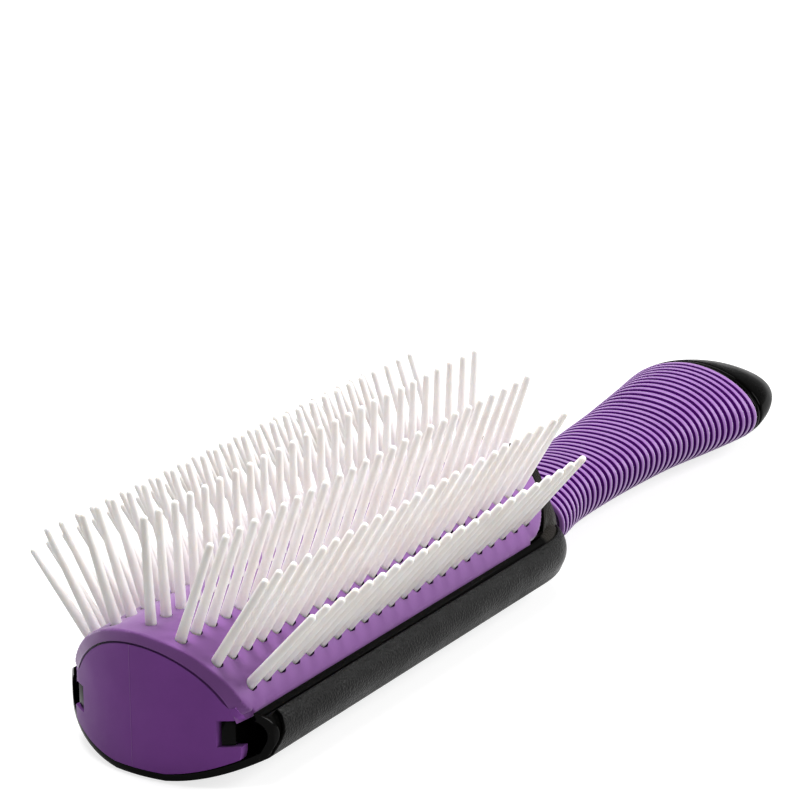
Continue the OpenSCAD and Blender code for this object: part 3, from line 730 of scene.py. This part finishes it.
def head_front(y):
    """Front edge of the shell from above: the bow, and a rounded corner at the side."""
    inner = HALF_W - HEAD_CORNER
    flank = SHELL_SETBACK + BOW_R - math.sqrt((BOW_R - HEAD_CORNER) ** 2 - inner ** 2)
    if y < BOW_R * inner / (BOW_R - HEAD_CORNER):
        return SHELL_SETBACK + float(bow(y))
    return flank - math.sqrt(max(0.0, HEAD_CORNER ** 2 - (y - inner) ** 2))


def back_shell():
    """The grained skin. It keeps the same distance from the outline all round, so its rear corners roll."""
    side_steps, rear_points, directions = 40, 73, 361
    # how far the head's outline reaches in each direction from the middle of its rounded rear
    lean = np.linspace(-math.pi / 2, math.pi / 2, directions)
    q = HEAD_P / (HEAD_P - 1)
    reach = ((HEAD_L * np.cos(lean)) ** q + (HALF_W * np.abs(np.sin(lean))) ** q) ** (1 / q)
    round_it = np.linspace(-math.pi / 2, math.pi / 2, rear_points)
    gap = round_it[:, None] - lean[None, :]
    across = np.maximum(1e-6, np.cos(gap))
    square_on, far = 1.5, 1e9  # directions at a right angle or more don't count
    rings = []
    for y, z in shell_section():
        r = np.where(np.abs(gap) < square_on, (reach - HALF_W + y) / across, far).min(1)
        start = head_front(y) + SHELL_RAKE * max(0.0, (z - RAIL_Z) / SHELL_RISE)
        xs = np.linspace(start, ROUND_X, side_steps + 1)[:-1]
        row = [(x, -y, z) for x in xs]
        row += [(ROUND_X + d * math.cos(a), d * math.sin(a), z) for d, a in zip(r, round_it)]
        row += [(x, y, z) for x in xs[::-1]]
        rings.append(row)
    n = len(rings[0])
    faces = [(i * n + k, i * n + k + 1, (i + 1) * n + k + 1, (i + 1) * n + k)
             for i in range(len(rings) - 1) for k in range(n - 1)]
    # the flat land, as a ladder from side to side with one face round its rear end
    rungs = side_steps + 2
    faces += [(k, k + 1, n - 2 - k, n - 1 - k) for k in range(rungs)]
    faces.append(tuple(range(rungs, n - rungs)))
    o = make("shell_skin", np.concatenate(rings), faces, [MAT_SHELL], 60)
    if max(o.data.polygons, key=lambda f: f.center.y).normal.y < 0:
        o.data.flip_normals()  # the wall grows inwards
    wall = o.modifiers.new("wall", "SOLIDIFY")
    wall.thickness = SHELL_T * MM
    wall.offset = -1
    wall.use_even_offset = True
    soften(o, 0.15, 2, 50)
    place(o, "frame", "shell_plastic", "back_shell")


# Frame
def dress_frame():
    """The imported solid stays, with its own material and rounded edges."""
    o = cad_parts["frame_body"]
    o.data.materials.clear()
    o.data.materials.append(MAT_FRAME)
    o.data.shade_smooth()
    weld = o.modifiers.new("weld", "WELD")
    weld.merge_threshold = 0.000002
    soften(o, 0.14, 2, 50, False)
    by_angle = o.modifiers.new("split", "EDGE_SPLIT")
    by_angle.split_angle = math.radians(35)


grip()
end_cap()
back_shell()
for row in range(len(ROWS)):
    pins(row)
pad()
pad_front()
dress_frame()


# Stage, lights and camera
def seen_rays(tree):
    """1 for what the camera sees directly, in gloss or through a clear piece, else 0."""
    rays = tree.nodes.new("ShaderNodeLightPath")
    first = maths(tree, "MAXIMUM", rays.outputs["Is Camera Ray"], rays.outputs["Is Glossy Ray"])
    return maths(tree, "MAXIMUM", first, rays.outputs["Is Transmission Ray"])


def floor_white():
    """Diffuse, so that the shadow shows, with a glow that only makes it look white."""
    m = bpy.data.materials.new("floor_white")
    m.use_nodes = True
    t = m.node_tree
    t.nodes.clear()
    out = t.nodes.new("ShaderNodeOutputMaterial")
    both = t.nodes.new("ShaderNodeAddShader")
    diffuse = add(t, "ShaderNodeBsdfDiffuse", Color=grey(0.4))
    glow = add(t, "ShaderNodeEmission", Color=grey(1))
    t.links.new(maths(t, "MULTIPLY", seen_rays(t), 0.76), glow.inputs["Strength"])
    t.links.new(diffuse.outputs[0], both.inputs[0])
    t.links.new(glow.outputs[0], both.inputs[1])
    t.links.new(both.outputs[0], out.inputs["Surface"])
    return m


def lay_floor():
    """A wide floor, a hair below the land that the brush lies on. Its sizes are in metres."""
    half, z = 6, -5e-5
    me = bpy.data.meshes.new("floor")
    me.from_pydata([(-half, -half, z), (half, -half, z), (half, half, z), (-half, half, z)], [],
                   [(0, 1, 2, 3)])
    me.materials.append(floor_white())
    o = bpy.data.objects.new("floor", me)
    bpy.context.scene.collection.objects.link(o)


def lamp(name, where, target, size, power):
    """A round soft lamp that faces its target."""
    data = bpy.data.lights.new(name, "AREA")
    data.shape = "DISK"
    data.size = size
    data.energy = power
    o = bpy.data.objects.new(name, data)
    bpy.context.scene.collection.objects.link(o)
    o.location = where
    o.rotation_mode = "QUATERNION"
    o.rotation_quaternion = (Vector(target) - Vector(where)).to_track_quat("-Z", "Y")


def studio():
    """Even white surroundings, a key lamp past the grip on the right side, and a lamp above."""
    world = bpy.data.worlds.new("studio")
    bpy.context.scene.world = world
    world.use_nodes = True
    background = world.node_tree.nodes["Background"]
    background.inputs["Color"].default_value = (1, 1, 1, 1)
    background.inputs["Strength"].default_value = 0.25
    middle = (0, 0, 0.02)
    lamp("key", (0.50, -0.65, 0.50), middle, 0.5, 8.2)
    lamp("top", (0.05, 0.15, 0.95), middle, 0.7, 13.5)


def camera():
    """The photograph's viewpoint, which was fitted to the roots of the pins."""
    cam = bpy.data.cameras.new("camera")
    cam.lens = 151.8
    cam.sensor_width = 36
    cam.clip_start, cam.clip_end = 0.01, 20
    o = bpy.data.objects.new("camera", cam)
    bpy.context.scene.collection.objects.link(o)
    right = Vector((0.53184222, -0.84683519, -0.00374397))
    down = Vector((-0.27113853, -0.16609283, -0.94810182))
    forward = Vector((0.80226414, 0.50525572, -0.31794483))
    turn = Matrix((right, -down, -forward)).transposed().to_4x4()
    turn.translation = Vector((-512.45, -304.85, 233.9)) * MM
    o.matrix_world = turn
    bpy.context.scene.camera = o
    bpy.context.scene.view_settings.view_transform = "Standard"


lay_floor()
studio()
camera()
